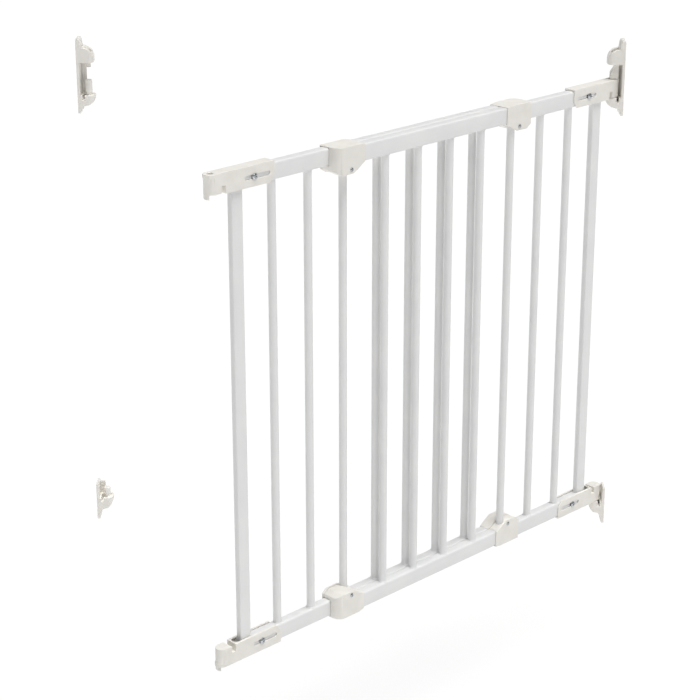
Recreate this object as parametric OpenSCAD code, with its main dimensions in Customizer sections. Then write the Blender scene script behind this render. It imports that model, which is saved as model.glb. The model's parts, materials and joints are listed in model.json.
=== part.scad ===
// Extending metal safety gate for a doorway or stair head.
// Two welded tube frames overlap and slide past each other, so the leaf fits its doorway.
// The leaf turns on two posts at the hinge wall (+X) and shuts on two posts at the latch wall.
// Origin: middle of the lower hinge bracket's two screw holes, on the wall face.

/* [Leaf] */
// Height over the two rails
leaf_h = 720; // [600:10:900]
// Distance from hinge post to latch post along the leaf
post_span = 830; // [800:1:860]
// How far the leaf stands open from shut
open_angle = 45; // [0:1:90]

/* [Frames] */
// Height of a rail's section
rail_h = 25; // [20:1:30]
// Depth of a rail's section
rail_d = 16; // [14:0.5:18]
// Diameter of a bar
bar_dia = 12; // [10:0.5:13]
// Distance from bar to bar
bar_pitch = 68; // [60:1:75]
// Length of the upright's section along the leaf
upright_l = 20; // [16:1:24]
// Depth of the upright's section
upright_d = 10; // [8:0.5:12]
// Wall of every tube
tube_wall = 1.2; // [0.8:0.1:1.5]
// Room between the two frames' rails
rail_gap = 0.5; // [0.3:0.1:1]

/* [End fittings] */
// Length from the post's axis to the inner end
fitting_l = 107; // [100:1:115]
// Depth of the fitting, which is also its tip's diameter
fitting_d = 20; // [19:0.5:22]
// How far the fitting stands proud of the rail's outer edge
fitting_proud = 3; // [2:0.5:4]
// Length of the adjusting slot
slot_l = 46; // [30:1:50]

/* [Wall brackets] */
// Distance from the wall to a post's axis
post_inset = 17; // [16:0.5:18]
// How far a bracket stands out from the wall
bracket_out = 27; // [26:0.5:29]
// Depth of a bracket
bracket_d = 28; // [26:1:34]
// Diameter of a post
post_dia = 11; // [10:0.5:12]
// Diameter of a lock's bolt
bolt_dia = 9; // [7:0.5:9]
// Diameter of the wood screw holes
screw_hole_dia = 5.2; // [4:0.1:6]

/* [Hidden] */
$fn = 48;
eps = 0.01;
run_fit = 0.08;                            // radial room of a pin that turns in its bore
slide_fit = 0.3;                           // room at each side of a rail that slides
plane_gap = rail_d + rail_gap;             // from one frame's plane to the other's
leaf_mid = post_span / 2;
doorway_w = post_span + 2 * post_inset;
upright_x = leaf_mid - 372;                // places along a frame are from its own post
bar_count = 7;
bar_start = leaf_mid - 4.5 * bar_pitch;
rail_start = upright_x - upright_l / 2;
rail_end = leaf_mid + 198;
sleeve_from = leaf_mid + 151;
sleeve_to = leaf_mid + 205;
sleeve_wall = 2.2;
sleeve_slope = 1.4;                        // how far a sleeve is drawn in to its rail
sleeve_run = 11;                           // length of that slope
tip_back = 1.2;                            // how far the fitting's tip stands back below its cap
cap_t = 2;                                 // cap's thickness below the rail's outer edge
clip_bar_x = leaf_mid - 2.5 * bar_pitch;   // the frame's own bar that is clipped
other_bar_x = leaf_mid + 2.5 * bar_pitch;  // the other frame's bar that is clipped
ear_drop = 13;                             // how far an ear hangs below its rail
clip_screw_x = other_bar_x + 8.5;
clip_screw_z = -rail_h - 6.7;
insert_dia = 5.2;
insert_l = 3.1;
screw_x = 70;                              // adjusting screw, from the post
screw_z = -rail_h / 2;
nut_dia = 8;
shelf_z = -rail_h - 0.6;                   // upper bracket's shelf, from the rail's outer edge
low_shelf_z = fitting_proud + 0.6;         // lower bracket's shelf, outwards
lobe_z = 27;                               // underside of the upper bracket's lobe
plate_t = 4.2;
lip_l = 7.5;
lip_half_w = 5;
groove_deep = 7.4;                         // groove in a shelf for the fitting's lip
upper_holes = [-48, 58];
lower_holes = [-14, 35];
base_z = (lower_holes[0] + lower_holes[1]) / 2;
white = "#f4f5f6";
plastic = "#efeeea";
zinc = "#b9bcbe";

// ---- Where things stand -------------------------------------------------------------------

// The leaf, drawn shut along -X from the hinge post, then swung open
module on_leaf() {
  translate([-post_inset, 0, base_z]) rotate([0, 0, open_angle]) children();
}

// A frame's own axes: X from its post towards the other frame, front at -Y
module on_hinge_side() { on_leaf() mirror([1, 0, 0]) children(); }
module on_latch_side() { on_leaf() translate([-post_span, plane_gap, 0]) children(); }

// A wall's own axes: X from the wall into the doorway, Y from the posts' plane
module on_hinge_wall() { translate([0, 0, base_z]) mirror([1, 0, 0]) children(); }
module on_latch_wall() { translate([-doorway_w, plane_gap, base_z]) children(); }

// A level's own height: 0 at the rail's outer edge, negative towards the bars
module at_top() { translate([0, 0, leaf_h]) children(); }
module at_bottom() { mirror([0, 0, 1]) children(); }

// ---- Plain shapes -------------------------------------------------------------------------

// Rectangle on the origin with round corners
module round_rect(l, w, r) {
  square([l - 2 * r, w], center = true);
  square([l, w - 2 * r], center = true);
  for (x = [-1, 1], y = [-1, 1]) {
    translate([x * (l / 2 - r), y * (w / 2 - r)]) circle(r);
  }
}

// Box given by its two corners
module box(from, to) { translate(from) cube(to - from); }

// Cylinder along +Y from a start point
module rod_y(start, d, l) { translate(start) rotate([-90, 0, 0]) cylinder(d = d, h = l); }

// ---- Frame --------------------------------------------------------------------------------

// Flat-oval tube rail with its rivet nut's hole
module rail() {
  color(white) difference() {
    translate([rail_start, 0, -rail_h / 2]) rotate([90, 0, 90])
      linear_extrude(rail_end - rail_start) difference() {
        round_rect(rail_d, rail_h, 2.5);
        round_rect(rail_d - 2 * tube_wall, rail_h - 2 * tube_wall, 1.3);
      }
    rod_y([screw_x, -rail_d / 2 - 1, screw_z], nut_dia, 4);
  }
}

// Flat tube at the frame's outer end
module upright() {
  color(white) translate([upright_x, 0, rail_h]) linear_extrude(leaf_h - 2 * rail_h)
    difference() {
      round_rect(upright_l, upright_d, 2);
      round_rect(upright_l - 2 * tube_wall, upright_d - 2 * tube_wall, 0.8);
    }
}

// Round tube bar, counted from the outer end
module bar(number) {
  color(white) translate([bar_start + (number - 1) * bar_pitch, 0, rail_h])
    linear_extrude(leaf_h - 2 * rail_h) difference() {
      circle(d = bar_dia);
      circle(d = bar_dia - 2 * tube_wall);
    }
}

// Side outline of the ear below a sleeve, with the clipped bar's axis at 0 and its own post at +X.
// It is slanted at the inner end and lowest beside the bar.
module ear_outline(inset) {
  polygon([[-18 + inset, 1], [35 - inset, 1], [35 - inset, -7 + inset], [26, -ear_drop + inset],
           [4 + inset, -ear_drop + inset], [-18 + inset, -0.5]]);
}

// Plan of a sleeve, round at its closed end's outer corner and drawn in to its own rail at the other end
module sleeve_plan() {
  near = rail_d / 2 + sleeve_wall;
  corner = 13;
  difference() {
    polygon([[sleeve_from, -near + sleeve_slope], [sleeve_from + sleeve_run, -near], [sleeve_to, -near],
             [sleeve_to, plane_gap + near], [sleeve_from, plane_gap + near]]);
    translate([sleeve_to - corner, -near]) difference() {
      square(corner + 1);
      translate([0, corner]) circle(corner);
    }
  }
}

// Side view of a sleeve's body, drawn in to the rail at the same end
module sleeve_side() {
  top = sleeve_wall;
  bottom = -rail_h - sleeve_wall;
  polygon([[sleeve_from, bottom + sleeve_slope], [sleeve_from + sleeve_run, bottom], [sleeve_to, bottom],
           [sleeve_to, top], [sleeve_from + sleeve_run, top], [sleeve_from, top - sleeve_slope]]);
}

// Moulded sleeve on the rail's inner end, in which the other frame's rail slides, with an ear whose
// two cheeks hold the jaws round the other frame's third bar.
// toward is 1 where the other frame lies behind and -1 where it lies in front.
module sleeve(toward) {
  other = toward * plane_gap;
  channel = bar_dia / 2 + 0.7;
  front = sleeve_front(toward);
  color(plastic) difference() {
    mirror([0, toward < 0 ? 1 : 0, 0]) union() {
      intersection() {
        translate([0, 0, -rail_h - sleeve_wall]) linear_extrude(rail_h + 2 * sleeve_wall) sleeve_plan();
        translate([0, 60, 0]) rotate([90, 0, 0]) linear_extrude(120) sleeve_side();
      }
      intersection() {
        translate([0, 0, -rail_h - 20]) linear_extrude(30) sleeve_plan();
        translate([other_bar_x, 60, -rail_h]) rotate([90, 0, 0]) linear_extrude(120) ear_outline(0);
      }
    }
    // own rail, pushed in to the closed end
    box([sleeve_from - 1, -rail_d / 2, -rail_h], [rail_end, rail_d / 2, 0]);
    // the other rail runs right through
    box([sleeve_from - 1, other - rail_d / 2 - slide_fit, -rail_h - slide_fit],
        [sleeve_to + 1, other + rail_d / 2 + slide_fit, slide_fit]);
    // its bars pass between the cheeks
    box([sleeve_from - 1, other - channel, -rail_h - 20], [sleeve_to + 1, other + channel, -rail_h + 1]);
    rod_y([clip_screw_x, front - 1, clip_screw_z], insert_dia, 1 + insert_l + 0.3);
  }
}

// Jaw beside the frame's third bar, held between the cheeks of the other frame's sleeve.
// end is -1 for the outer jaw and 1 for the inner one.
module jaw(end) {
  half = bar_dia / 2 + 0.4;
  gap = 2.5;
  color(plastic) translate([clip_bar_x, 0, 0]) difference() {
    intersection() {
      translate([0, half, -rail_h]) rotate([90, 0, 0]) linear_extrude(2 * half)
        mirror([1, 0]) ear_outline(0.8);
      box([end > 0 ? gap : -50, -20, -rail_h - 30], [end > 0 ? 50 : -gap, 20, -rail_h - 0.5]);
    }
    translate([0, 0, -rail_h - 30]) cylinder(d = bar_dia, h = 40);
  }
}

// Where a sleeve's front face lies, from its own rail's plane
function sleeve_front(toward) = -rail_d / 2 - sleeve_wall - (toward < 0 ? plane_gap : 0);

// Short screw that tightens the jaws
module clip_screw(toward) {
  face = sleeve_front(toward);
  head = 1.8;
  color(zinc) difference() {
    union() {
      rod_y([clip_screw_x, face - head, clip_screw_z], 6, head);
      rod_y([clip_screw_x, face - eps, clip_screw_z], 3.4, insert_l);
    }
    for (a = [0, 90]) {
      translate([clip_screw_x, face - head, clip_screw_z]) rotate([0, a, 0])
        cube([3.4, 1.8, 0.8], center = true);
    }
  }
}

// Threaded insert moulded into the front cheek
module clip_insert(toward) {
  color(zinc) difference() {
    rod_y([clip_screw_x, sleeve_front(toward) + 0.3, clip_screw_z], insert_dia, insert_l);
    rod_y([clip_screw_x, sleeve_front(toward) - 1, clip_screw_z], 3.4, insert_l + 3);
  }
}

// Cross-head screw through the fitting's slot
module adjust_screw() {
  face = -fitting_d / 2 - 0.15;
  head = 2.6;
  color(zinc) difference() {
    union() {
      rod_y([screw_x, face - head, screw_z], 9, head);
      rod_y([screw_x, face - eps, screw_z], 5, 10);
    }
    for (a = [0, 90]) {
      translate([screw_x, face - head, screw_z]) rotate([0, a, 0])
        cube([5.4, 3.2, 1.3], center = true);
    }
  }
}

// Threaded insert in the rail's front wall
module rivet_nut() {
  color(zinc) difference() {
    rod_y([screw_x, -rail_d / 2, screw_z], nut_dia, 8);
    rod_y([screw_x, -rail_d / 2 - 1, screw_z], 5, 10);
  }
}

// ---- End fitting --------------------------------------------------------------------------

// Outer body: round tip on the post's axis, notch, sleeve on the rail, and the lip that hangs from the tip
module fitting_body(lip_from) {
  notch_from = 12;
  notch_to = 19;
  half = fitting_d / 2;
  intersection() {
    translate([tip_back, 0, lip_from - 1]) cylinder(r = half, h = lip_l + 2);
    box([-half, -lip_half_w, lip_from], [-post_dia / 2 - 0.4, lip_half_w, lip_from + lip_l]);
  }
  difference() {
    union() {
      translate([0, 0, -cap_t]) cylinder(r = half, h = cap_t + fitting_proud);
      intersection() {
        translate([0, 0, -rail_h]) cylinder(r = half, h = rail_h);
        translate([tip_back, 0, -rail_h]) cylinder(r = half, h = rail_h);
      }
      box([0, -half, -rail_h], [notch_to, half, fitting_proud]);
      rotate([90, 0, 0]) translate([0, 0, -half]) linear_extrude(2 * half)
        polygon([[notch_to - 1, fitting_proud], [fitting_l, fitting_proud], [fitting_l, -rail_h + 8],
                 [fitting_l - 8, -rail_h - 1.5], [notch_to - 1, -rail_h - 1.5]]);
    }
    box([notch_from, -half - 1, -rail_h - 2], [notch_to, half + 1, -15]);
  }
}

// Room for the rail inside, for the bars below it, and the slot in the front wall
module fitting_rooms() {
  pocket = 21.5;
  room = rail_d / 2 + 0.2;
  bars = bar_dia / 2 + 0.6;
  slot_r = 3;
  slot_mid = screw_x + 6;
  box([pocket, -room, -rail_h - 0.2], [fitting_l + 1, room, 0.2]);
  box([pocket + bars, -bars, -rail_h - 3], [fitting_l + 1, bars, -rail_h + 1]);
  translate([pocket + bars, 0, -rail_h - 3]) cylinder(r = bars, h = 4);
  for (x = [-1, 1]) {
    rod_y([slot_mid + x * (slot_l / 2 - slot_r), -fitting_d / 2 - 1, screw_z], 2 * slot_r, 4);
  }
  box([slot_mid - slot_l / 2 + slot_r, -fitting_d / 2 - 1, screw_z - slot_r],
      [slot_mid + slot_l / 2 - slot_r, -fitting_d / 2 + 3, screw_z + slot_r]);
}

// Bores of the upper tip: post from below, lock's bolt from above
module upper_tip_room(open_back) {
  post_r = post_dia / 2 + run_fit;
  translate([0, 0, -rail_h - 1]) cylinder(r = post_r, h = rail_h - 0.5);
  translate([0, 0, -2]) cylinder(d = bolt_dia + 2 * run_fit, h = fitting_proud + 3);
  if (open_back) {
    box([-post_r, 0, -rail_h - 1], [post_r, fitting_d / 2 + 1, -1.5]);
  }
}

// Bore of the lower tip: post from outside
module lower_tip_room(open_back) {
  post_r = post_dia / 2 + run_fit;
  translate([0, 0, -13]) cylinder(r = post_r, h = 13 + fitting_proud + 1);
  if (open_back) {
    box([-post_r, 0, -13], [post_r, fitting_d / 2 + 1, fitting_proud + 1]);
  }
}

module top_fitting(open_back) {
  color(plastic) difference() {
    fitting_body(-rail_h - lip_l + 1);
    fitting_rooms();
    upper_tip_room(open_back);
  }
}

module bottom_fitting(open_back) {
  color(plastic) difference() {
    fitting_body(fitting_proud - 1);
    fitting_rooms();
    lower_tip_room(open_back);
  }
}

// ---- Wall brackets ------------------------------------------------------------------------

// Hollow curve from [x1, z1] to [x2, z2] for a gusset between a lobe and its tongue
function gusset(x1, z1, x2, z2) =
  [for (a = [0:7.5:90]) [x1 + (x2 - x1) * sin(a), z2 + (z1 - z2) * cos(a)]];

// Round shoulder from [x + rx, z] up to [x, z + rz]
function crown(x, z, rx, rz) = [for (a = [0:7.5:90]) [x + rx * cos(a), z + rz * sin(a)]];

// Plan of a bracket, round at its two free corners
module bracket_plan() {
  r = 8;
  translate([bracket_out / 2, 0]) round_rect(bracket_out, bracket_d, r);
  translate([0, -bracket_d / 2]) square([r, bracket_d]);
}

// Extrudes a side outline across the bracket's depth
module across(depth_from, depth_to) {
  translate([0, depth_to, 0]) rotate([90, 0, 0]) linear_extrude(depth_to - depth_from) children();
}

module screw_holes(heights) {
  for (z = heights) {
    translate([-1, 0, z]) rotate([0, 90, 0]) cylinder(d = screw_hole_dia, h = 20);
  }
}

// Groove beside the post for the fitting's lip: round the wall side and the back, where the lip goes
// as the hinge end turns, and straight out at the front, where it leaves as the latch end opens
module lip_groove(from, to) {
  inner = post_dia / 2 + 0.1;
  outer = fitting_d / 2 - tip_back + 0.7;
  translate([post_inset, 0, from]) difference() {
    cylinder(r = outer, h = to - from);
    translate([0, 0, -1]) cylinder(r = inner, h = to - from + 2);
    box([0, -outer - 1, -1], [outer + 1, 4, to - from + 1]);
  }
  box([post_inset - outer, -bracket_d, from], [post_inset - inner, 0, to]);
}

// Shelf and lobe on one plate. The lock slides in the lobe, and the rib behind stops the leaf.
module upper_bracket(channel_from, channel_to) {
  spigot = 7;
  color(plastic) difference() {
    union() {
      intersection() {
        across(-bracket_d / 2, bracket_d / 2) polygon(concat(
          [[0, -54], [4, -54], [6.5, -50], [7.5, -43.5], [19, -40.5], [25, -36], [bracket_out, -33],
           [bracket_out, shelf_z], [plate_t, shelf_z], [plate_t, lobe_z], [bracket_out, lobe_z]],
          crown(8.5, 33, bracket_out - 8.5, 18), [[7.6, 60], [5.5, 65], [0, 65]]));
        translate([0, 0, -60]) linear_extrude(140) bracket_plan();
      }
      box([plate_t - 1, bracket_d / 2 - 3.4, shelf_z - 1], [13, bracket_d / 2, lobe_z + 1]);
    }
    box([channel_from - 0.2, -7.2, lobe_z - 1], [channel_to + 0.2, 7.2, 60]);
    translate([post_inset, 0, shelf_z - spigot + 1]) cylinder(d = 7, h = spigot);
    lip_groove(shelf_z - groove_deep, shelf_z + 1);
    screw_holes(upper_holes);
  }
}

// Shelf on a plate, drawn with its outer side up, as at_bottom() turns it over
module lower_bracket() {
  color(plastic) difference() {
    union() {
      intersection() {
        across(-bracket_d / 2, bracket_d / 2) polygon(concat(
          [[0, -22], [3.6, -22], [plate_t, -18], [plate_t, low_shelf_z], [bracket_out, low_shelf_z],
           [bracket_out, 10], [23.5, 17]],
          gusset(18.5, 22.5, 6, 33), [[4.6, 42], [0, 42]]));
        translate([0, 0, -30]) linear_extrude(80) bracket_plan();
      }
      box([plate_t - 1, bracket_d / 2 - 3.4, -18], [13, bracket_d / 2, low_shelf_z + 1]);
    }
    translate([post_inset, 0, low_shelf_z - 1]) cylinder(d = 7, h = 6);
    lip_groove(low_shelf_z - 1, low_shelf_z + groove_deep);
    screw_holes(lower_holes);
  }
}

// Post with a spigot in its shelf
module upper_post() {
  color(plastic) translate([post_inset, 0, 0]) union() {
    translate([0, 0, shelf_z]) cylinder(d = post_dia, h = -shelf_z - 3);
    translate([0, 0, -3 - eps]) cylinder(d1 = post_dia, d2 = post_dia - 2, h = 1 + eps);
    translate([0, 0, shelf_z - 6]) cylinder(d = 7, h = 6 + eps);
  }
}

module lower_post() {
  color(plastic) translate([post_inset, 0, 0]) union() {
    translate([0, 0, -11]) cylinder(d = post_dia, h = 11 + low_shelf_z);
    translate([0, 0, -12]) cylinder(d1 = post_dia - 2, d2 = post_dia, h = 1 + eps);
    translate([0, 0, low_shelf_z - eps]) cylinder(d = 7, h = 5 + eps);
  }
}

// Lock: a block that slides in the lobe, with its bolt below
module lock_slide(block_from, block_to, block_z, bolt_l) {
  color(plastic) union() {
    translate([0, 7, block_z]) rotate([90, 0, 0]) linear_extrude(14)
      polygon([[block_from, 0], [block_to, 0], [block_to, 9], [block_from + 5, 23], [block_from, 26]]);
    translate([post_inset, 0, block_z - bolt_l]) cylinder(d = bolt_dia, h = bolt_l + eps);
  }
}

hinge_block = [9, 21.7];
latch_block = [11.2, 23.4];

// ---- Nodes --------------------------------------------------------------------------------

module on_side(side) {
  if (side > 0) on_hinge_side() children();
  else on_latch_side() children();
}
module top_rail(side) { on_side(side) at_top() rail(); }
module bottom_rail(side) { on_side(side) at_bottom() rail(); }
module frame_upright(side) { on_side(side) upright(); }
module frame_bar(side, number) { on_side(side) bar(number); }
module top_sleeve(side) { on_side(side) at_top() sleeve(side); }
module bottom_sleeve(side) { on_side(side) at_bottom() sleeve(side); }
module top_jaw(side, end) { on_side(side) at_top() jaw(end); }
module bottom_jaw(side, end) { on_side(side) at_bottom() jaw(end); }
module both_levels(side) {
  on_side(side) {
    at_top() children();
    at_bottom() children();
  }
}

top_rail(1);  // hinge_frame_top_rail
bottom_rail(1);  // hinge_frame_bottom_rail
frame_upright(1);  // hinge_frame_upright
frame_bar(1, 1);  // hinge_frame_bar_1
frame_bar(1, 2);  // hinge_frame_bar_2
frame_bar(1, 3);  // hinge_frame_bar_3
frame_bar(1, 4);  // hinge_frame_bar_4
frame_bar(1, 5);  // hinge_frame_bar_5
frame_bar(1, 6);  // hinge_frame_bar_6
frame_bar(1, bar_count);  // hinge_frame_bar_7
top_sleeve(1);  // hinge_frame_top_sleeve
bottom_sleeve(1);  // hinge_frame_bottom_sleeve
top_jaw(1, -1);  // hinge_frame_top_jaw_outer
top_jaw(1, 1);  // hinge_frame_top_jaw_inner
bottom_jaw(1, -1);  // hinge_frame_bottom_jaw_outer
bottom_jaw(1, 1);  // hinge_frame_bottom_jaw_inner
both_levels(1) clip_screw(1);  // hinge_frame_clip_screws
both_levels(1) clip_insert(1);  // hinge_frame_clip_inserts
both_levels(1) adjust_screw();  // hinge_frame_adjust_screws
both_levels(1) rivet_nut();  // hinge_frame_rivet_nuts

top_rail(-1);  // latch_frame_top_rail
bottom_rail(-1);  // latch_frame_bottom_rail
frame_upright(-1);  // latch_frame_upright
frame_bar(-1, 1);  // latch_frame_bar_1
frame_bar(-1, 2);  // latch_frame_bar_2
frame_bar(-1, 3);  // latch_frame_bar_3
frame_bar(-1, 4);  // latch_frame_bar_4
frame_bar(-1, 5);  // latch_frame_bar_5
frame_bar(-1, 6);  // latch_frame_bar_6
frame_bar(-1, bar_count);  // latch_frame_bar_7
top_sleeve(-1);  // latch_frame_top_sleeve
bottom_sleeve(-1);  // latch_frame_bottom_sleeve
top_jaw(-1, -1);  // latch_frame_top_jaw_outer
top_jaw(-1, 1);  // latch_frame_top_jaw_inner
bottom_jaw(-1, -1);  // latch_frame_bottom_jaw_outer
bottom_jaw(-1, 1);  // latch_frame_bottom_jaw_inner
both_levels(-1) clip_screw(-1);  // latch_frame_clip_screws
both_levels(-1) clip_insert(-1);  // latch_frame_clip_inserts
both_levels(-1) adjust_screw();  // latch_frame_adjust_screws
both_levels(-1) rivet_nut();  // latch_frame_rivet_nuts

on_hinge_side() at_top() top_fitting(false);  // hinge_top_fitting
on_hinge_side() at_bottom() bottom_fitting(false);  // hinge_bottom_fitting
on_latch_side() at_top() top_fitting(true);  // latch_top_fitting
on_latch_side() at_bottom() bottom_fitting(true);  // latch_bottom_fitting

on_hinge_wall() at_top() upper_bracket(hinge_block[0], hinge_block[1]);  // hinge_upper_bracket
on_hinge_wall() at_bottom() lower_bracket();  // hinge_lower_bracket
on_latch_wall() at_top() upper_bracket(latch_block[0], latch_block[1]);  // latch_upper_bracket
on_latch_wall() at_bottom() lower_bracket();  // latch_lower_bracket
on_hinge_wall() at_top() upper_post();  // hinge_upper_post
on_hinge_wall() at_bottom() lower_post();  // hinge_lower_post
on_latch_wall() at_top() upper_post();  // latch_upper_post
on_latch_wall() at_bottom() lower_post();  // latch_lower_post
on_hinge_wall() at_top() lock_slide(hinge_block[0], hinge_block[1], fitting_proud + 0.6, 5);  // hinge_lock_slide
on_latch_wall() at_top() lock_slide(latch_block[0], latch_block[1], lobe_z + 0.2, 9);  // latch_lock_slide
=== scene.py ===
# %% [markdown]
# # An extending metal safety gate
# This lesson dresses the gate that the CAD model holds. The gate is two welded tube frames that overlap,
# four moulded sleeves that hold them together, four end fittings, and four wall brackets. All but the
# screws is white, so the form is told only by edges, gaps and soft shade. That is why the work goes into
# rounded edges, weld beads and screws, and not into colour.

# %% Load the frame
import json
import math
import bmesh
import bpy
from mathutils import Matrix, Vector
from mathutils.bvhtree import BVHTree


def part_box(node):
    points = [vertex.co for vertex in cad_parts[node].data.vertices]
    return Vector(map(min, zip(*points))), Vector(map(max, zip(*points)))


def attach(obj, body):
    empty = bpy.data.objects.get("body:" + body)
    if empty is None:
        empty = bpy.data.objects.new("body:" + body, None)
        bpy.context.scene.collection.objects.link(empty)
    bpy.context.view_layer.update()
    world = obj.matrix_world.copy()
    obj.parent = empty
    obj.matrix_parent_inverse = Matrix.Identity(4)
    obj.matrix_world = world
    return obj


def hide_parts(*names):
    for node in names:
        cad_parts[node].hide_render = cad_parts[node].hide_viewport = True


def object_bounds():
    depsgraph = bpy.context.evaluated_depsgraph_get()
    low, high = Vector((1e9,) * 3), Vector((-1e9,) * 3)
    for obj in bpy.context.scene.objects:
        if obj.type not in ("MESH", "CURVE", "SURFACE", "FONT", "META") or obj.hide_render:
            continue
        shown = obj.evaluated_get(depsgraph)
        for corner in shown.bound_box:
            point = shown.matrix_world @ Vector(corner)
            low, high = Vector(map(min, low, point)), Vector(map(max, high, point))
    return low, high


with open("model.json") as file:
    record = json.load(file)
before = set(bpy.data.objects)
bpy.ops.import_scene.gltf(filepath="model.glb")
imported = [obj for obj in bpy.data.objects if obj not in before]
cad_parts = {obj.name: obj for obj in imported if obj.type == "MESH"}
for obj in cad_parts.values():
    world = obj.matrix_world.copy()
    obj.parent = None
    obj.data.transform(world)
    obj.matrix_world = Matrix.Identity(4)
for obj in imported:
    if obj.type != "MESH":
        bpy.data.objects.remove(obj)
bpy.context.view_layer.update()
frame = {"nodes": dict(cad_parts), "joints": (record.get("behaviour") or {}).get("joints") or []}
MM = 0.001

# %% [markdown]
# The leaf stands open, so its length runs slantwise across the room. The joint that widens the gate slides
# along the leaf, so its axis is the leaf's own direction. With it and the hinge's axis every place on the
# leaf can be told in plain leaf terms: how far along it, how far in front of it and how high.

# %% Directions of the leaf
joints = {joint["name"]: joint for joint in frame["joints"]}
UP = Vector((0, 0, 1))
ALONG = Vector(joints["width_adjust"]["axis"]).normalized()
FRONT = UP.cross(ALONG)
HINGE = Vector(joints["leaf_swing"]["pos_m"])


def middle(node):
    """Middle of a CAD node's box."""
    low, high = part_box(node)
    return (Vector(low) + Vector(high)) / 2


def height_of(node):
    """Lowest and highest point of a CAD node."""
    low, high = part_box(node)
    return low[2], high[2]


print("leaf runs along", [round(c, 3) for c in ALONG], "and faces", [round(c, 3) for c in FRONT])

# %% [markdown]
# Colours are written as sRGB hex values, as on a paint card. The shader works in linear light, so one
# function turns them. A pattern's scale comes from the width that its blobs should have in millimetres. One
# more small function adds a node to a tree, sets it and links it, and every material and every Geometry
# Nodes tree below is made with it.

# %% Small helpers


def linear(hex_colour):
    """Linear RGBA of an sRGB hex colour."""
    parts = [int(hex_colour[i:i + 2], 16) / 255 for i in (1, 3, 5)]
    curve = [c / 12.92 if c <= 0.04045 else ((c + 0.055) / 1.055) ** 2.4 for c in parts]
    return (*curve, 1.0)


def blobs(size_mm):
    """Scale of a noise whose blobs measure about size_mm."""
    return 1 / (size_mm * MM)


def add(tree, kind, inputs=None, **settings):
    """Adds a node. An input is a node, a socket of one, or a plain value. A node gives its first output."""
    node = tree.nodes.new(kind)
    for name, value in settings.items():
        setattr(node, name, value)
    for name, value in (inputs or {}).items():
        socket = node.inputs[name]
        if isinstance(value, bpy.types.Node):
            value = value.outputs[0]
        if isinstance(value, bpy.types.NodeSocket):
            tree.links.new(value, socket)
        else:
            socket.default_value = value
    return node


print("helpers ready")

# %% [markdown]
# Every material starts alike. Its patterns read the piece's own coordinates, so they stay on it as it
# moves. A noise keeps mostly between 0.3 and 0.7, so that part of it is what gets stretched over a range of
# colour or roughness.

# %% Start of a material
MIDDLE = {"From Min": 0.3, "From Max": 0.7}
WHOLE = {"To Min": 0.0, "To Max": 1.0}


def start_material(name):
    """An empty material with its surface shader and the piece's own coordinates."""
    material = bpy.data.materials.new(name)
    material.use_nodes = True
    tree = material.node_tree
    tree.nodes.clear()
    shader = add(tree, "ShaderNodeBsdfPrincipled")
    add(tree, "ShaderNodeOutputMaterial", {"Surface": shader})
    place = add(tree, "ShaderNodeTexCoord").outputs["Object"]
    return material, tree, shader, place


print("a noise is stretched from", *MIDDLE.values())

# %% [markdown]
# ## Powder coat
# The steel tubes are powder coated: polyester powder is sprayed on dry and melted into a skin about 0.08 mm
# thick. It flows into an orange peel of low, soft waves 2 to 3 mm across, and it pulls away a little from
# sharp edges. To the eye that gives a satin white whose highlights are broad and slightly uneven. The peel
# is drawn 3 mm across, its coarse end, because a finer one would not show.

# %% Powder coat
PEEL_MM, PEEL_DEPTH_MM = 3.0, 0.035
FLOW_MM, FLOW_DEPTH_MM = 45.0, 0.10
SPECK_MM = 0.9


def powder_coat():
    """Satin white polyester powder coat on steel."""
    material, tree, shader, place = start_material("powder_coated_steel_white")
    peel = add(tree, "ShaderNodeTexNoise",
               {"Vector": place, "Scale": blobs(PEEL_MM), "Detail": 1.5, "Roughness": 0.5})
    flow = add(tree, "ShaderNodeTexNoise",
               {"Vector": place, "Scale": blobs(FLOW_MM), "Detail": 2.0, "Roughness": 0.5})
    specks = add(tree, "ShaderNodeTexNoise",
                 {"Vector": place, "Scale": blobs(SPECK_MM), "Detail": 3.0, "Roughness": 0.7})

    amount = add(tree, "ShaderNodeMapRange", {"Value": flow, **MIDDLE, **WHOLE})
    tint = add(tree, "ShaderNodeMix", {"Factor": amount, "A": linear("#E6E6E6"), "B": linear("#EBEBEA")},
               data_type="RGBA")
    tree.links.new(tint.outputs["Result"], shader.inputs["Base Color"])

    satin = add(tree, "ShaderNodeMapRange", {"Value": peel, **MIDDLE, "To Min": 0.30, "To Max": 0.38})
    dust = add(tree, "ShaderNodeMapRange", {"Value": specks, **MIDDLE, "To Min": 0.0, "To Max": 0.05})
    gloss = add(tree, "ShaderNodeMath", {0: satin, 1: dust}, operation="ADD")
    tree.links.new(gloss.outputs[0], shader.inputs["Roughness"])

    fine = add(tree, "ShaderNodeBump", {"Height": peel, "Strength": 1.0, "Distance": PEEL_DEPTH_MM * MM})
    skin = add(tree, "ShaderNodeBump",
               {"Height": flow, "Strength": 1.0, "Distance": FLOW_DEPTH_MM * MM, "Normal": fine})
    tree.links.new(skin.outputs[0], shader.inputs["Normal"])
    shader.inputs["IOR"].default_value = 1.52
    return material


COAT = powder_coat()
print("made", COAT.name)

# %% [markdown]
# ## Moulded polyamide
# The fittings, sleeves, jaws, brackets, lock slides and posts are injection moulded in white polyamide,
# which is warmer than the paint. The mould is spark eroded, so the skin carries a fine matt grain about
# half a millimetre wide, drawn here at 0.9 mm. Light enters such a plastic a little way, and that lifts its
# edges, so it gets a little subsurface scattering. The fittings turn on the posts, so the posts are
# polished, with a coarser and much lower relief.

# %% Moulded plastics
SINK_MM, SINK_DEPTH_MM = 22.0, 0.08
LIGHT_DEPTH_MM = 1.2


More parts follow.
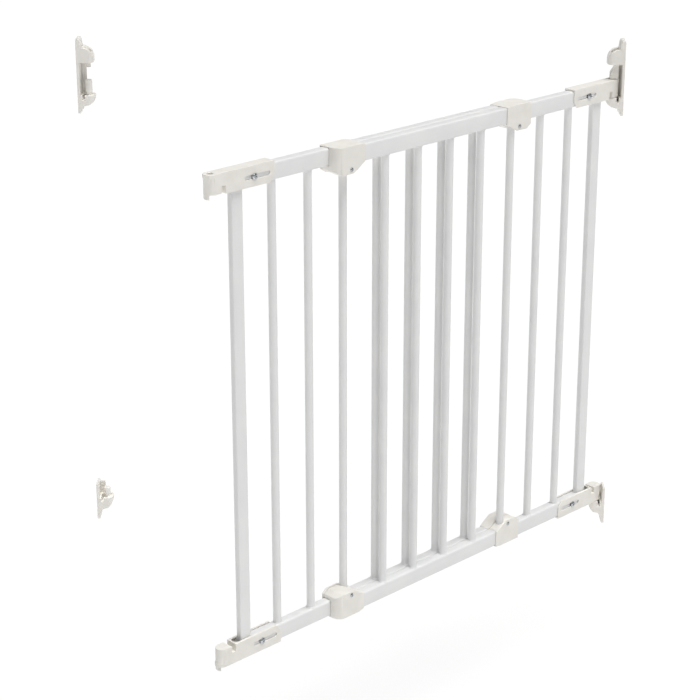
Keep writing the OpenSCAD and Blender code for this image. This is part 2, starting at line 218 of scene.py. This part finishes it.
def polyamide(name, dull, clean, grain_mm, relief_mm, rough):
    """White injection moulded polyamide with a spark-eroded grain over broad, shallow sinks."""
    material, tree, shader, place = start_material(name)
    grain = add(tree, "ShaderNodeTexNoise",
                {"Vector": place, "Scale": blobs(grain_mm), "Detail": 3.0, "Roughness": 0.65})
    sinks = add(tree, "ShaderNodeTexNoise",
                {"Vector": place, "Scale": blobs(SINK_MM), "Detail": 2.0, "Roughness": 0.5})

    amount = add(tree, "ShaderNodeMapRange", {"Value": sinks, **MIDDLE, **WHOLE})
    tint = add(tree, "ShaderNodeMix", {"Factor": amount, "A": linear(dull), "B": linear(clean)},
               data_type="RGBA")
    tree.links.new(tint.outputs["Result"], shader.inputs["Base Color"])

    matt = add(tree, "ShaderNodeMapRange",
               {"Value": grain, **MIDDLE, "To Min": rough - 0.05, "To Max": rough + 0.07})
    tree.links.new(matt.outputs[0], shader.inputs["Roughness"])

    fine = add(tree, "ShaderNodeBump", {"Height": grain, "Strength": 1.0, "Distance": relief_mm * MM})
    skin = add(tree, "ShaderNodeBump",
               {"Height": sinks, "Strength": 1.0, "Distance": SINK_DEPTH_MM * MM, "Normal": fine})
    tree.links.new(skin.outputs[0], shader.inputs["Normal"])
    shader.inputs["IOR"].default_value = 1.53
    shader.inputs["Subsurface Weight"].default_value = 0.12
    shader.inputs["Subsurface Radius"].default_value = (1.0, 0.95, 0.85)
    shader.inputs["Subsurface Scale"].default_value = LIGHT_DEPTH_MM * MM
    return material


PLASTIC = polyamide("moulded_polyamide_white", "#E9E6DF", "#F0EDE7", 0.9, 0.03, 0.46)
SMOOTH_PLASTIC = polyamide("polished_polyamide_white", "#EAE7E1", "#F0EEE9", 1.6, 0.006, 0.34)
print("made", PLASTIC.name, "and", SMOOTH_PLASTIC.name)

# %% [markdown]
# ## Bright zinc
# The screws, their threaded inserts and the rivet nuts are steel with an electroplated zinc skin,
# passivated clear. It is a cool, bright metal with cloudy patches a few millimetres wide, where the
# passivate dried unevenly, and fine marks over it.

# %% Bright zinc
CLOUD_MM = 2.5
MARK_MM, MARK_DEPTH_MM = 0.5, 0.02


def zinc_plate():
    """Bright zinc plating on steel."""
    material, tree, shader, place = start_material("bright_zinc_plated_steel")
    clouds = add(tree, "ShaderNodeTexNoise",
                 {"Vector": place, "Scale": blobs(CLOUD_MM), "Detail": 3.0, "Roughness": 0.5})
    marks = add(tree, "ShaderNodeTexNoise",
                {"Vector": place, "Scale": blobs(MARK_MM), "Detail": 2.0, "Roughness": 0.7})

    amount = add(tree, "ShaderNodeMapRange", {"Value": clouds, **MIDDLE, **WHOLE})
    tint = add(tree, "ShaderNodeMix", {"Factor": amount, "A": linear("#AEB4B8"), "B": linear("#D3D6D8")},
               data_type="RGBA")
    tree.links.new(tint.outputs["Result"], shader.inputs["Base Color"])

    gloss = add(tree, "ShaderNodeMapRange", {"Value": clouds, **MIDDLE, "To Min": 0.20, "To Max": 0.34})
    tree.links.new(gloss.outputs[0], shader.inputs["Roughness"])
    skin = add(tree, "ShaderNodeBump", {"Height": marks, "Strength": 1.0, "Distance": MARK_DEPTH_MM * MM})
    tree.links.new(skin.outputs[0], shader.inputs["Normal"])
    shader.inputs["Metallic"].default_value = 1.0
    return material


ZINC = zinc_plate()
print("made", ZINC.name)

# %% [markdown]
# ## Camera
# The camera stands in front of the middle of the doorway, well above the gate, and looks down at it. Its
# distance sets how fast the open leaf shrinks towards the hinge, and its lens then sets the size in the
# picture.

# %% Camera
EYE_IN_FRONT = 3.103
EYE_ABOVE = 0.682
LOOK_DOWN = math.radians(20.1)
LENS = 102.5
SENSOR = 36.0

leaf_top = height_of("hinge_frame_top_rail")[1]
doorway_middle = (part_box("latch_upper_bracket")[0][0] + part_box("hinge_upper_bracket")[1][0]) / 2
eye = Vector((doorway_middle, HINGE.y - EYE_IN_FRONT, leaf_top + EYE_ABOVE))
camera = bpy.data.objects.new("camera", bpy.data.cameras.new("camera"))
camera.data.lens = LENS
camera.data.sensor_width = SENSOR
camera.location = eye
camera.rotation_euler = (math.pi / 2 - LOOK_DOWN, 0, 0)
bpy.context.scene.collection.objects.link(camera)
bpy.context.scene.camera = camera
print("camera at", [round(c, 3) for c in eye])

# %% [markdown]
# ## Tubes
# Rails, uprights and bars are all one kind of thing: a section with round corners, drawn out to a length,
# and in the bars' case set out in a row and welded at both ends. A modeller could copy a cylinder by hand,
# but a rule says it better, so one Geometry Nodes tree makes a row of tubes. A section whose corner radius
# is half its width is a round bar. The weld bead is a thin ring laid round the section at each end, made
# lumpy with noise, as the puddle of a weld is under its coat of paint.

# %% Tube row tree
CORNER_POINTS = 7
BEAD_SIDES = 8
LUMP_MM = 2.5
LUMP_SHARE = 0.6
MERGE_WITHIN = 0.01 * MM
TREE_INPUTS = {
    "Count": "NodeSocketInt", "Pitch": "NodeSocketFloat", "Width": "NodeSocketFloat",
    "Depth": "NodeSocketFloat", "Corner": "NodeSocketFloat", "Length": "NodeSocketFloat",
    "Bead": "NodeSocketFloat", "Material": "NodeSocketMaterial",
}


def open_tree(name, sockets):
    """Geometry Nodes tree with named inputs and one shape as its output."""
    tree = bpy.data.node_groups.new(name, "GeometryNodeTree")
    for socket, kind in sockets.items():
        tree.interface.new_socket(socket, in_out="INPUT", socket_type=kind)
    tree.interface.new_socket("Geometry", in_out="OUTPUT", socket_type="NodeSocketGeometry")
    return tree, add(tree, "NodeGroupInput").outputs


def tube_row_tree():
    """Row of tubes along X, each drawn out along Z, with a bead at both ends."""
    tree, given = open_tree("tube_row", TREE_INPUTS)

    square = add(tree, "GeometryNodeCurvePrimitiveQuadrilateral",
                 {"Width": given["Width"], "Height": given["Depth"]})
    section = add(tree, "GeometryNodeFilletCurve",
                  {"Curve": square, "Count": CORNER_POINTS, "Radius": given["Corner"]}, mode="POLY")
    foot = add(tree, "GeometryNodeFillCurve", {"Curve": section}, mode="NGONS")
    rise = add(tree, "ShaderNodeCombineXYZ", {"Z": given["Length"]})
    drawn = add(tree, "GeometryNodeExtrudeMesh",
                {"Mesh": foot, "Offset": rise, "Offset Scale": 1.0, "Individual": False})
    sole = add(tree, "GeometryNodeFlipFaces", {"Mesh": foot})
    closed = add(tree, "GeometryNodeJoinGeometry")
    tree.links.new(sole.outputs[0], closed.inputs[0])
    tree.links.new(drawn.outputs[0], closed.inputs[0])
    tube = add(tree, "GeometryNodeMergeByDistance", {"Geometry": closed, "Distance": MERGE_WITHIN})

    bead_section = add(tree, "GeometryNodeCurvePrimitiveCircle",
                       {"Resolution": BEAD_SIDES, "Radius": given["Bead"]})
    ring = add(tree, "GeometryNodeCurveToMesh", {"Curve": section, "Profile Curve": bead_section})
    upper = add(tree, "GeometryNodeTransform", {"Geometry": ring, "Translation": rise})
    rings = add(tree, "GeometryNodeJoinGeometry")
    tree.links.new(ring.outputs[0], rings.inputs[0])
    tree.links.new(upper.outputs[0], rings.inputs[0])

    step = add(tree, "ShaderNodeCombineXYZ", {"X": given["Pitch"]})
    spots = add(tree, "GeometryNodeMeshLine", {"Count": given["Count"], "Offset": step}, mode="OFFSET")
    whole = add(tree, "GeometryNodeJoinGeometry")
    for shape, lumpy in ((tube, False), (rings, True)):
        placed = add(tree, "GeometryNodeInstanceOnPoints", {"Points": spots, "Instance": shape})
        made = add(tree, "GeometryNodeRealizeInstances", {"Geometry": placed})
        if lumpy:
            lumps = add(tree, "ShaderNodeTexNoise", {"Scale": blobs(LUMP_MM), "Detail": 1.0})
            centred = add(tree, "ShaderNodeVectorMath", {0: lumps.outputs[1], 1: (0.5, 0.5, 0.5)},
                          operation="SUBTRACT")
            swell = add(tree, "ShaderNodeMath", {0: given["Bead"], 1: LUMP_SHARE}, operation="MULTIPLY")
            pushed = add(tree, "ShaderNodeVectorMath", {0: centred, "Scale": swell}, operation="SCALE")
            made = add(tree, "GeometryNodeSetPosition", {"Geometry": made, "Offset": pushed})
        tree.links.new(made.outputs[0], whole.inputs[0])
    painted = add(tree, "GeometryNodeSetMaterial", {"Geometry": whole, "Material": given["Material"]})
    add(tree, "NodeGroupOutput", {"Geometry": painted})
    return tree


TUBE_ROW = tube_row_tree()
print("tree with inputs", ", ".join(TREE_INPUTS))

# %% [markdown]
# A modifier's inputs are set by their identifiers. The result is turned into a plain mesh with its place in
# its vertices, so the object itself stays at the origin, where the export expects it.

# %% Making plain meshes
STAYS_SHARP = math.radians(38)


def shade(mesh):
    """Smooth faces, with the edges past an angle left sharp."""
    mesh.polygons.foreach_set("use_smooth", [True] * len(mesh.polygons))
    mesh.set_sharp_from_angle(angle=STAYS_SHARP)


def add_object(name, mesh):
    """Object at the origin that holds a mesh."""
    piece = bpy.data.objects.new(name, mesh)
    bpy.context.scene.collection.objects.link(piece)
    return piece


def settled(piece):
    """Turns an object with modifiers into one with a plain mesh."""
    depsgraph = bpy.context.evaluated_depsgraph_get()
    mesh = bpy.data.meshes.new_from_object(piece.evaluated_get(depsgraph))
    piece.modifiers.clear()
    piece.data = mesh
    return piece


def grown(name, tree, values, place):
    """Mesh that a Geometry Nodes tree makes, moved to its place."""
    piece = add_object(name, bpy.data.meshes.new(name))
    modifier = piece.modifiers.new("tree", "NODES")
    modifier.node_group = tree
    for item in tree.interface.items_tree:
        if item.in_out == "INPUT" and item.name in values:
            modifier[item.identifier] = values[item.name]
    settled(piece)
    piece.data.transform(place)
    shade(piece.data)
    return piece


def axes(origin, x_axis, y_axis, z_axis):
    """Matrix that puts a shape drawn on X, Y and Z on three other directions."""
    turned = Matrix((x_axis, y_axis, z_axis)).transposed().to_4x4()
    return Matrix.Translation(origin) @ turned


print("mesh helpers ready")

# %% [markdown]
# ## The two frames
# Each frame is a top and a bottom rail, an upright and seven bars. Their places and lengths are read off
# the CAD nodes' boxes. On a slanting leaf a box is wider than its tube, but a bar's box gives its diameter
# and a rail's box gives its height. The rails' depth and the uprights' section are given here. The upright
# and the first bar run into the end fitting when the frame shifts, so their welds are kept nearly flush,
# and only the other bars have a full bead.

# %% Rails, uprights and bars
RAIL_DEPTH = 16 * MM
RAIL_CORNER = 2.6 * MM
UPRIGHT = (20 * MM, 10 * MM)
UPRIGHT_CORNER = 2.2 * MM
ROUND_BUT_FOR = 0.01 * MM
FULL_BEAD = 1.3 * MM
FLUSH_BEAD = 0.4 * MM
UPRIGHT_BEAD = FLUSH_BEAD / 4
RAIL_RIM = 0.05 * MM
BARS = range(1, 8)


def rail_piece(side, level):
    """Rail as a section drawn out along the leaf."""
    node = f"{side}_frame_{level}_rail"
    low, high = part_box(node)
    slant = abs(ALONG.x)
    length = (high[0] - low[0] - RAIL_DEPTH * abs(FRONT.x)) / slant
    start = middle(node) - ALONG * length / 2
    values = {"Count": 1, "Pitch": 0.0, "Width": high[2] - low[2], "Depth": RAIL_DEPTH,
              "Corner": RAIL_CORNER, "Length": length, "Bead": RAIL_RIM, "Material": COAT}
    return grown(node + "_tube", TUBE_ROW, values, axes(start, UP, FRONT, ALONG))


def rod_piece(side, kind, nodes, width, depth, corner, bead):
    """Row of uprights or bars between the rails, with their welds."""
    first, last = middle(nodes[0]), middle(nodes[-1])
    low, high = height_of(nodes[0])
    pitch = (last - first).length / max(1, len(nodes) - 1)
    row = (last - first).normalized() if len(nodes) > 1 else ALONG
    start = Vector((first.x, first.y, low))
    values = {"Count": len(nodes), "Pitch": pitch, "Width": width, "Depth": depth, "Corner": corner,
              "Length": high - low, "Bead": bead, "Material": COAT}
    return grown(f"{side}_frame_{kind}", TUBE_ROW, values, axes(start, row, UP.cross(row), UP))


for side in ("hinge", "latch"):
    body = f"{side}_frame"
    for level in ("top", "bottom"):
        rail = rail_piece(side, level)
        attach(rail, body)
        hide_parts(f"{body}_{level}_rail")
    bar_nodes = [f"{body}_bar_{number}" for number in BARS]
    bar_low, bar_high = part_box(bar_nodes[0])
    bar_width = bar_high[0] - bar_low[0]
    for kind, nodes, bead in (("first_bar", bar_nodes[:1], FLUSH_BEAD), ("bars", bar_nodes[1:], FULL_BEAD)):
        bars = rod_piece(side, kind, nodes, bar_width, bar_width, bar_width / 2 - ROUND_BUT_FOR, bead)
        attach(bars, body)
        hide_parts(*nodes)
    upright = rod_piece(side, "upright_tube", [f"{body}_upright"], *UPRIGHT, UPRIGHT_CORNER, UPRIGHT_BEAD)
    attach(upright, body)
    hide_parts(f"{body}_upright")
    print(side, "frame: bars", round(bar_width / MM, 1), "mm thick,", len(bars.data.polygons), "faces")

# %% [markdown]
# ## Moulded pieces
# A moulded piece never has a sharp edge: the mould is milled, and the edges come out with a radius of half
# a millimetre or more, which catches a fine line of light. The CAD shapes are right but sharp, so a copy of
# each is merged, its flat faces are joined up, and a Bevel modifier rounds what is left. A thin wall has no
# room for a full radius, so each outward edge is rounded only where its two faces are wide enough beside
# it. The rounded mesh is then searched for triangles that cross, the edges near a crossing are left sharp,
# and it is rounded again until no crossing lies near a rounded edge, in eight attempts at most.

# %% Edges with room to be rounded
SHARP = math.radians(32)
ROOM_NEEDED = 2.2
AHEAD = 0.7


def room_beside(edge):
    """Free distance on an edge's faces, to its side and not ahead along the same outline."""
    first, last = (vert.co for vert in edge.verts)
    centre = (first + last) / 2
    direction = (last - first).normalized()
    nearest = 1.0
    for face in edge.link_faces:
        for other in face.edges:
            if set(other.verts) & set(edge.verts):
                continue
            start = other.verts[0].co
            run = other.verts[1].co - start
            share = min(1, max(0, (centre - start).dot(run) / run.length_squared))
            gap = start + run * share - centre
            if abs(gap.dot(direction)) < AHEAD * gap.length:
                nearest = min(nearest, gap.length)
    return nearest


def weigh_edges(work, radius):
    """Marks each outward sharp edge whose faces have room for the radius."""
    weights = work.edges.layers.float.new("bevel_weight_edge")
    for edge in work.edges:
        if len(edge.link_faces) == 2 and edge.calc_face_angle_signed(0) > SHARP:
            edge[weights] = float(room_beside(edge) > ROOM_NEEDED * radius)


print("an edge needs", ROOM_NEEDED, "times its radius beside it")

# %% Triangles that cross


def crossings(mesh):
    """Places where two triangles of a mesh cut through each other."""
    shape = bmesh.new()
    shape.from_mesh(mesh)
    bmesh.ops.triangulate(shape, faces=shape.faces)
    shape.faces.ensure_lookup_table()
    tree = BVHTree.FromBMesh(shape)
    places = []
    for first, second in tree.overlap(tree):
        pair = shape.faces[first], shape.faces[second]
        if first < second and not set(pair[0].verts) & set(pair[1].verts):
            smaller = min(pair, key=lambda face: face.calc_area())
            places.append(smaller.calc_center_median())
    shape.free()
    return places


def distance_to(edge, point):
    """Distance from a point to an edge."""
    start = edge.verts[0].co
    run = edge.verts[1].co - start
    share = min(1, max(0, (point - start).dot(run) / run.length_squared))
    return (start + run * share - point).length


print("crossings are found with a tree of boxes")

# %% Rounding a moulded piece
SEGMENTS = 3
MOST_ATTEMPTS = 8
NEAR_CROSSING = 1.6
SAME_POINT = 0.001 * MM
SAME_PLANE = math.radians(1)


def rounded(work, name, radius):
    """Object with its marked edges rounded, rounded again without the edges near crossing faces, for a few
    attempts at most.
    """
    weights = work.edges.layers.float["bevel_weight_edge"]
    for attempt in range(MOST_ATTEMPTS):
        mesh = bpy.data.meshes.new(name)
        work.to_mesh(mesh)
        piece = add_object(name, mesh)
        bevel = piece.modifiers.new("edges", "BEVEL")
        bevel.width = radius
        bevel.segments = SEGMENTS
        bevel.limit_method = "WEIGHT"
        bevel.use_clamp_overlap = False
        bevel.miter_outer = "MITER_ARC"
        settled(piece)
        places = crossings(piece.data)
        marked = [edge for edge in work.edges if edge[weights]]
        near = [edge for edge in marked
                if any(distance_to(edge, place) < NEAR_CROSSING * radius for place in places)]
        if not near or attempt == MOST_ATTEMPTS - 1:
            print(name, len(piece.data.polygons), "faces,", len(marked), "edges rounded,",
                  len(places), "crossings")
            return piece
        for edge in near:
            edge[weights] = 0
        bpy.data.objects.remove(piece)


def moulded(node, body, edge_mm, material):
    """Copy of a CAD node with its edges rounded."""
    work = bmesh.new()
    work.from_mesh(frame["nodes"][node].data)
    bmesh.ops.remove_doubles(work, verts=work.verts, dist=SAME_POINT)
    bmesh.ops.dissolve_limit(work, angle_limit=SAME_PLANE, verts=work.verts, edges=work.edges)
    weigh_edges(work, edge_mm * MM)
    piece = rounded(work, node + "_moulding", edge_mm * MM)
    work.free()
    piece.data.materials.clear()
    piece.data.materials.append(material)
    shade(piece.data)
    piece.modifiers.new("flat_faces_stay_flat", "WEIGHTED_NORMAL").keep_sharp = True
    settled(piece)
    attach(piece, body)
    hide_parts(node)
    return piece


print("pieces are rounded in", SEGMENTS, "steps, in", MOST_ATTEMPTS, "attempts at most")

# %% [markdown]
# The end fittings hold the leaf to the posts, the wall brackets carry the posts, and a lock slides in each
# upper bracket. The sleeves guide the two frames past each other, and jaws in them grip a bar. All of them
# are dressed by the one function above, because they come from one moulding shop: the large pieces get the
# larger radius and the small posts the least.

# %% Fittings, brackets, locks and sleeves
MOULDINGS = {
    "hinge_fittings": ["hinge_top_fitting", "hinge_bottom_fitting"],
    "latch_fittings": ["latch_top_fitting", "latch_bottom_fitting"],
    "hinge_wall": ["hinge_upper_bracket", "hinge_lower_bracket"],
    "latch_wall": ["latch_upper_bracket", "latch_lower_bracket"],
    "hinge_lock": ["hinge_lock_slide"],
    "latch_lock": ["latch_lock_slide"],
    "hinge_frame": [],
    "latch_frame": [],
}
EDGE_MM = {"sleeve": 0.8, "jaw": 0.6, "fitting": 0.8, "bracket": 0.8, "slide": 0.6}
POST_EDGE_MM = 0.3
for side in ("hinge", "latch"):
    for level in ("top", "bottom"):
        for part in ("sleeve", "jaw_outer", "jaw_inner"):
            MOULDINGS[f"{side}_frame"].append(f"{side}_frame_{level}_{part}")
for body, nodes in MOULDINGS.items():
    for node in nodes:
        edge_mm = next(size for kind, size in EDGE_MM.items() if kind in node)
        moulded(node, body, edge_mm, PLASTIC)
for side in ("hinge", "latch"):
    for level in ("upper", "lower"):
        moulded(f"{side}_{level}_post", f"{side}_wall", POST_EDGE_MM, SMOOTH_PLASTIC)

# %% [markdown]
# ## Screws
# Each frame has two adjusting screws through its end fittings and two shorter ones that tighten its jaws.
# They are pan-head screws with a cross recess. One tree makes the row: a disc is domed by pushing its
# points back with the cube of their distance from the middle, the recess is cut by a boolean, and the
# screws of a row are turned different ways, as a driver leaves them. The turn is random with a fixed seed,
# so it is the same every run, and the same on both frames.

# %% Screw row tree
HEAD_SIDES, HEAD_RINGS, SHANK_SIDES = 40, 9, 24
DOME_POWER, DOME_FALL = 3.0, 0.62
RECESS_LENGTH, RECESS_WIDTH, RECESS_DEPTH = 1.15, 0.24, 1.2
TOP_FACE = -0.01 * MM
SCREW_INPUTS = {
    "Count": "NodeSocketInt", "Pitch": "NodeSocketFloat", "Radius": "NodeSocketFloat",
    "Head": "NodeSocketFloat", "Shank": "NodeSocketFloat", "Length": "NodeSocketFloat",
    "Seed": "NodeSocketInt", "Material": "NodeSocketMaterial",
}


def screw_row_tree():
    """Row of screws along X. Each one's axis is Z, with the top of its head at Z = 0."""
    tree, given = open_tree("screw_row", SCREW_INPUTS)
    times = {"operation": "MULTIPLY"}

    disc = add(tree, "GeometryNodeMeshCylinder",
               {"Vertices": HEAD_SIDES, "Side Segments": 1, "Fill Segments": HEAD_RINGS,
                "Radius": given["Radius"], "Depth": given["Head"]}, fill_type="TRIANGLE_FAN")
    half_head = add(tree, "ShaderNodeMath", {0: given["Head"], 1: -0.5}, **times)
    below = add(tree, "ShaderNodeCombineXYZ", {"Z": half_head})
    lowered = add(tree, "GeometryNodeTransform", {"Geometry": disc, "Translation": below})

    place = add(tree, "GeometryNodeInputPosition")
    parts = add(tree, "ShaderNodeSeparateXYZ", {0: place}).outputs
    flat = add(tree, "ShaderNodeCombineXYZ", {"X": parts["X"], "Y": parts["Y"]})
    from_middle = add(tree, "ShaderNodeVectorMath", {0: flat}, operation="LENGTH").outputs[1]
    out = add(tree, "ShaderNodeMath", {0: from_middle, 1: given["Radius"]}, operation="DIVIDE")
    dome = add(tree, "ShaderNodeMath", {0: out, 1: DOME_POWER}, operation="POWER")
    most = add(tree, "ShaderNodeMath", {0: given["Head"], 1: -DOME_FALL}, **times)
    fall = add(tree, "ShaderNodeMath", {0: dome, 1: most}, **times)
    push = add(tree, "ShaderNodeCombineXYZ", {"Z": fall})
    on_top = add(tree, "FunctionNodeCompare", {"A": parts["Z"], "B": TOP_FACE}, operation="GREATER_THAN")
    domed = add(tree, "GeometryNodeSetPosition", {"Geometry": lowered, "Selection": on_top, "Offset": push})

    cutters = add(tree, "GeometryNodeJoinGeometry")
    long_side = add(tree, "ShaderNodeMath", {0: given["Radius"], 1: RECESS_LENGTH}, **times)
    short_side = add(tree, "ShaderNodeMath", {0: given["Radius"], 1: RECESS_WIDTH}, **times)
    deep = add(tree, "ShaderNodeMath", {0: given["Head"], 1: RECESS_DEPTH}, **times)
    for sides in ({"X": long_side, "Y": short_side}, {"X": short_side, "Y": long_side}):
        size = add(tree, "ShaderNodeCombineXYZ", {"Z": deep, **sides})
        arm = add(tree, "GeometryNodeMeshCube", {"Size": size})
        tree.links.new(arm.outputs[0], cutters.inputs[0])
    cut = add(tree, "GeometryNodeMeshBoolean", {"Mesh 1": domed, "Self Intersection": True},
              operation="DIFFERENCE", solver="EXACT")
    tree.links.new(cutters.outputs[0], cut.inputs["Mesh 2"])

    rod = add(tree, "GeometryNodeMeshCylinder",
              {"Vertices": SHANK_SIDES, "Radius": given["Shank"], "Depth": given["Length"]},
              fill_type="NGON")
    half_length = add(tree, "ShaderNodeMath", {0: given["Length"], 1: -0.5}, **times)
    behind = add(tree, "ShaderNodeMath", {0: half_length, 1: given["Head"]}, operation="SUBTRACT")
    back = add(tree, "ShaderNodeCombineXYZ", {"Z": behind})
    shank = add(tree, "GeometryNodeTransform", {"Geometry": rod, "Translation": back})
    screw = add(tree, "GeometryNodeJoinGeometry")
    tree.links.new(cut.outputs[0], screw.inputs[0])
    tree.links.new(shank.outputs[0], screw.inputs[0])

    step = add(tree, "ShaderNodeCombineXYZ", {"X": given["Pitch"]})
    spots = add(tree, "GeometryNodeMeshLine", {"Count": given["Count"], "Offset": step}, mode="OFFSET")
    turn = add(tree, "FunctionNodeRandomValue", {"Max": math.pi / 2, "Seed": given["Seed"]},
               data_type="FLOAT").outputs[1]
    turned = add(tree, "ShaderNodeCombineXYZ", {"Z": turn})
    placed = add(tree, "GeometryNodeInstanceOnPoints",
                 {"Points": spots, "Instance": screw, "Rotation": turned})
    made = add(tree, "GeometryNodeRealizeInstances", {"Geometry": placed})
    plated = add(tree, "GeometryNodeSetMaterial", {"Geometry": made, "Material": given["Material"]})
    add(tree, "NodeGroupOutput", {"Geometry": plated})
    return tree


SCREW_ROW = screw_row_tree()
print("tree with inputs", ", ".join(SCREW_INPUTS))

# %% [markdown]
# A row's place comes from its CAD node. The heads are the widest part and point to the front, so the box's
# front corner, moved in by a head's own reach, is the middle of a head. The threaded inserts and the rivet
# nuts are hidden, so they keep their CAD shape and only get the zinc.

# %% Screws in their places
SCREWS = {
    "adjust_screws": {"Radius": 4.5 * MM, "Head": 2.6 * MM, "Shank": 2.5 * MM, "Length": 9.8 * MM},
    "clip_screws": {"Radius": 3.0 * MM, "Head": 1.8 * MM, "Shank": 1.7 * MM, "Length": 3.0 * MM},
}
for side in ("hinge", "latch"):
    body = f"{side}_frame"
    for seed, (kind, sizes) in enumerate(SCREWS.items()):
        node = f"{body}_{kind}"
        low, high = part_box(node)
        reach = sizes["Radius"] * abs(ALONG.x)
        lowest = Vector((high[0] - reach, low[1] + reach, low[2] + sizes["Radius"]))
        pitch = high[2] - low[2] - 2 * sizes["Radius"]
        values = {"Count": 2, "Pitch": pitch, "Seed": seed + len(side), "Material": ZINC, **sizes}
        screws = grown(node + "_cross_recess", SCREW_ROW, values, axes(lowest, UP, FRONT.cross(UP), FRONT))
        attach(screws, body)
        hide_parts(node)
        print(node, len(screws.data.polygons), "faces")
    for kind in ("clip_inserts", "rivet_nuts"):
        hidden = frame["nodes"][f"{body}_{kind}"]
        hidden.data.materials.clear()
        hidden.data.materials.append(ZINC)

# %% [markdown]
# ## Floor and light
# A white object on a white ground needs light with a direction, or its form is lost. A wide soft sun stands
# almost overhead and leans to the leaf's front: tops come out bright, fronts a step darker and ends darker
# again. The sky is weaker, and the floor fills from below. It is a light table: most of its white is its
# own glow, so it stays even under the leaf's soft shadows.

# %% Floor
FLOOR_HALF = 60.0
FLOOR_DROP = 0.20
FLOOR_GLOW = 0.80
MOTTLE_MM = 300.0


def floor_finish():
    """Opal light-table floor with a faint mottle."""
    material, tree, shader, place = start_material("opal_light_table")
    mottle = add(tree, "ShaderNodeTexNoise",
                 {"Vector": place, "Scale": blobs(MOTTLE_MM), "Detail": 3.0, "Roughness": 0.5})
    amount = add(tree, "ShaderNodeMapRange", {"Value": mottle, **MIDDLE, **WHOLE})
    tint = add(tree, "ShaderNodeMix", {"Factor": amount, "A": linear("#7B7B7B"), "B": linear("#7E7E7E")},
               data_type="RGBA")
    tree.links.new(tint.outputs["Result"], shader.inputs["Base Color"])
    shader.inputs["Roughness"].default_value = 0.9
    shader.inputs["Specular IOR Level"].default_value = 0.1
    shader.inputs["Emission Color"].default_value = (1, 1, 1, 1)
    shader.inputs["Emission Strength"].default_value = FLOOR_GLOW
    return material


floor_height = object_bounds()[0][2] - FLOOR_DROP
signs = (-1, -1), (1, -1), (1, 1), (-1, 1)
corners = [(x * FLOOR_HALF, y * FLOOR_HALF, floor_height) for x, y in signs]
floor_mesh = bpy.data.meshes.new("floor")
floor_mesh.from_pydata(corners, [], [(0, 1, 2, 3)])
floor_mesh.materials.append(floor_finish())
floor = add_object("floor", floor_mesh)
print("floor at", round(floor_height, 3), "m")

# %% [markdown]
# The sky is brighter low down than overhead, so that upright faces get more of it than the tops, which the
# sun already lights.

# %% Lights
SUN_LEAN = math.radians(14)
SUN_WIDTH = math.radians(45)
SUN_POWER = 3.1
SKY_OVERHEAD = 0.14
SKY_AT_HORIZON = 0.55
HAZE_LOW, HAZE_HIGH = 0.05, 0.25

sun = bpy.data.lights.new("soft_sun", "SUN")
sun.angle = SUN_WIDTH
sun.energy = SUN_POWER
lamp = bpy.data.objects.new("soft_sun", sun)
towards_sun = UP * math.cos(SUN_LEAN) + FRONT * math.sin(SUN_LEAN)
lamp.rotation_euler = towards_sun.to_track_quat("Z", "Y").to_euler()
bpy.context.scene.collection.objects.link(lamp)
world = bpy.data.worlds.new("pale_room")
world.use_nodes = True
sky = world.node_tree
look = add(sky, "ShaderNodeTexCoord").outputs["Generated"]
direction = add(sky, "ShaderNodeSeparateXYZ", {0: look}).outputs
strength = add(sky, "ShaderNodeMapRange",
               {"Value": direction["Z"], "From Min": HAZE_LOW, "From Max": HAZE_HIGH,
                "To Min": SKY_AT_HORIZON, "To Max": SKY_OVERHEAD})
sky.nodes["Background"].inputs["Color"].default_value = linear("#FFFFFF")
sky.links.new(strength.outputs[0], sky.nodes["Background"].inputs["Strength"])
bpy.context.scene.world = world
bpy.context.scene.view_settings.view_transform = "Standard"
print("stage lit")
